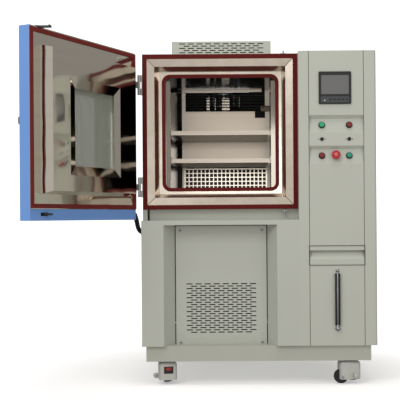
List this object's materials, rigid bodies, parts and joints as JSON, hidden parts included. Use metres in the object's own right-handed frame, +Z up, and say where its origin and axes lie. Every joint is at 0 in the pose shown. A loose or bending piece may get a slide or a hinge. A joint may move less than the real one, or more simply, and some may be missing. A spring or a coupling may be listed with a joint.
{
  "type": "environmental test chamber",
  "caption": "Floor-standing temperature and humidity test chamber: windowed swing door, shelved steel test space, control column, water drawer and levelling castors.",
  "frame": {"origin": "bottom centre of the whole box, with the door open as in the picture", "axes": "+Z up, the front with the door faces -Y, +X to the right as seen from the front"},
  "size_m": [1.454, 1.478, 1.582],
  "materials": {
    "cabinet_paint": "fine satin powder coat",
    "base_paint": "satin paint",
    "door_blue": "satin powder coat",
    "steel": "satin",
    "zinc": "zinc plated",
    "seal_rubber": "silicone rubber",
    "black_rubber": "matt",
    "black_plastic": "fine texture",
    "screen": "display",
    "green_plastic": "gloss",
    "red_plastic": "gloss",
    "teal_plastic": "gloss",
    "glass": "coated glass",
    "foam": "rigid foam",
    "castor_metal": "light grey paint",
    "copper": "bare"
  },
  "bodies": {
    "cabinet": {"base_frame": "base_paint", "side_panels": "cabinet_paint", "rear_panel": "cabinet_paint", "top_panel": "cabinet_paint", "fan_cover": "cabinet_paint", "lower_front_cheeks": "cabinet_paint", "sill_rail": "cabinet_paint", "vent_panel": "cabinet_paint", "column_front": "cabinet_paint", "controller_body": "black_plastic", "controller_screen": "screen", "panel_fittings": "black_plastic", "level_gauge": "black_plastic", "electrical_plate": "zinc", "mouth_frame": "steel", "mouth_seals": "seal_rubber", "inner_liner": "steel", "cabinet_insulation": "foam", "wall_ports": "black_plastic", "shelf_supports": "steel", "baffle_panel": "steel", "lower_grille": "steel", "air_conditioning": "copper", "fan_motor": "base_paint", "condenser": "zinc", "compressor": "black_plastic", "cabinet_hinges": "zinc", "latch_keepers": "zinc", "door_conduit": "black_rubber"},
    "door": {"door_shell": "door_blue", "door_insulation": "foam", "door_liner": "steel", "door_seal": "seal_rubber", "window_frame": "steel", "window_panes": "glass", "door_hinges": "zinc", "door_fittings": "black_plastic"},
    "latch": {"latch_rod": "black_plastic"},
    "upper_shelf": {"upper_shelf": "steel"},
    "lower_shelf": {"lower_shelf": "steel"},
    "drawer": {"water_drawer": "cabinet_paint"},
    "power_on": {"power_on_button": "green_plastic"},
    "power_off": {"power_off_button": "red_plastic"},
    "alarm": {"alarm_button": "red_plastic"},
    "stop": {"emergency_stop": "red_plastic"},
    "lamp": {"lamp_button": "teal_plastic"},
    "circulation_fan": {"circulation_fan": "zinc"},
    "condenser_fan": {"condenser_fan": "black_plastic"},
    "castor_front_left": {"castor_body_front_left": "castor_metal"},
    "wheel_front_left": {"castor_wheel_front_left": "black_rubber"},
    "foot_front_left": {"castor_foot_front_left": "red_plastic"},
    "castor_front_right": {"castor_body_front_right": "castor_metal"},
    "wheel_front_right": {"castor_wheel_front_right": "black_rubber"},
    "foot_front_right": {"castor_foot_front_right": "red_plastic"},
    "castor_rear_left": {"castor_body_rear_left": "castor_metal"},
    "wheel_rear_left": {"castor_wheel_rear_left": "black_rubber"},
    "foot_rear_left": {"castor_foot_rear_left": "red_plastic"},
    "castor_rear_right": {"castor_body_rear_right": "castor_metal"},
    "wheel_rear_right": {"castor_wheel_rear_right": "black_rubber"},
    "foot_rear_right": {"castor_foot_rear_right": "red_plastic"}
  },
  "joints": [
    {"name": "door_swing", "type": "hinge", "parent": "cabinet", "child": "door", "pos_m": [-0.33199, -0.10875, 1.1135], "axis": [0, 0, 1], "range_deg": [-8, 117], "deforming": ["door_conduit"]},
    {"name": "latch_turn", "type": "hinge", "parent": "door", "child": "latch", "pos_m": [-0.65191, -0.65954, 1.13], "axis": [0, 0, 1], "range_deg": [-25, 0]},
    {"name": "upper_shelf_slide", "type": "slide", "parent": "cabinet", "child": "upper_shelf", "axis": [0, 1, 0], "range_m": [-0.25, 0]},
    {"name": "lower_shelf_slide", "type": "slide", "parent": "cabinet", "child": "lower_shelf", "axis": [0, 1, 0], "range_m": [-0.25, 0]},
    {"name": "drawer_slide", "type": "slide", "parent": "cabinet", "child": "drawer", "axis": [0, 1, 0], "range_m": [-0.24, 0]},
    {"name": "power_on_press", "type": "slide", "parent": "cabinet", "child": "power_on", "axis": [0, 0.9776, -0.2106], "range_m": [0, 0.004], "stiffness_N_per_m": 400, "springref_m": -0.003},
    {"name": "power_off_press", "type": "slide", "parent": "cabinet", "child": "power_off", "axis": [0, 0.9776, -0.2106], "range_m": [0, 0.004], "stiffness_N_per_m": 400, "springref_m": -0.003},
    {"name": "alarm_press", "type": "slide", "parent": "cabinet", "child": "alarm", "axis": [0, 0.9776, -0.2106], "range_m": [0, 0.004], "stiffness_N_per_m": 400, "springref_m": -0.003},
    {"name": "stop_press", "type": "slide", "parent": "cabinet", "child": "stop", "axis": [0, 0.9776, -0.2106], "range_m": [0, 0.004], "stiffness_N_per_m": 400, "springref_m": -0.003},
    {"name": "lamp_press", "type": "slide", "parent": "cabinet", "child": "lamp", "axis": [0, 0.9776, -0.2106], "range_m": [0, 0.004], "stiffness_N_per_m": 400, "springref_m": -0.003},
    {"name": "circulation_fan_spin", "type": "hinge", "parent": "cabinet", "child": "circulation_fan", "pos_m": [0.03201, 0.43325, 1.35], "axis": [0, 0, 1], "continuous": true},
    {"name": "condenser_fan_spin", "type": "hinge", "parent": "cabinet", "child": "condenser_fan", "pos_m": [0.03201, 0.10925, 0.358], "axis": [0, 1, 0], "continuous": true},
    {"name": "swivel_front_left", "type": "hinge", "parent": "cabinet", "child": "castor_front_left", "pos_m": [-0.21099, -0.09875, 0.08], "axis": [0, 0, 1], "continuous": true},
    {"name": "roll_front_left", "type": "hinge", "parent": "castor_front_left", "child": "wheel_front_left", "pos_m": [-0.2218, -0.04789, 0.0315], "axis": [0.9781, 0.2079, 0], "continuous": true},
    {"name": "level_front_left", "type": "slide", "parent": "castor_front_left", "child": "foot_front_left", "axis": [0, 0, -1], "range_m": [0, 0.0145]},
    {"name": "swivel_front_right", "type": "hinge", "parent": "cabinet", "child": "castor_front_right", "pos_m": [0.62001, -0.09875, 0.08], "axis": [0, 0, 1], "continuous": true},
    {"name": "roll_front_right", "type": "hinge", "parent": "castor_front_right", "child": "wheel_front_right", "pos_m": [0.56852, -0.10599, 0.0315], "axis": [-0.1392, 0.9903, 0], "continuous": true},
    {"name": "level_front_right", "type": "slide", "parent": "castor_front_right", "child": "foot_front_right", "axis": [0, 0, -1], "range_m": [0, 0.0145]},
    {"name": "swivel_rear_left", "type": "hinge", "parent": "cabinet", "child": "castor_rear_left", "pos_m": [-0.21099, 0.65725, 0.08], "axis": [0, 0, 1], "continuous": true},
    {"name": "roll_rear_left", "type": "hinge", "parent": "castor_rear_left", "child": "wheel_rear_left", "pos_m": [-0.22878, 0.70611, 0.0315], "axis": [0.9397, 0.342, 0], "continuous": true},
    {"name": "level_rear_left", "type": "slide", "parent": "castor_rear_left", "child": "foot_rear_left", "axis": [0, 0, -1], "range_m": [0, 0.0145]},
    {"name": "swivel_rear_right", "type": "hinge", "parent": "cabinet", "child": "castor_rear_right", "pos_m": [0.62001, 0.65725, 0.08], "axis": [0, 0, 1], "continuous": true},
    {"name": "roll_rear_right", "type": "hinge", "parent": "castor_rear_right", "child": "wheel_rear_right", "pos_m": [0.64984, 0.69984, 0.0315], "axis": [0.8192, -0.5736, 0], "continuous": true},
    {"name": "level_rear_right", "type": "slide", "parent": "castor_rear_right", "child": "foot_rear_right", "axis": [0, 0, -1], "range_m": [0, 0.0145]}
  ]
}
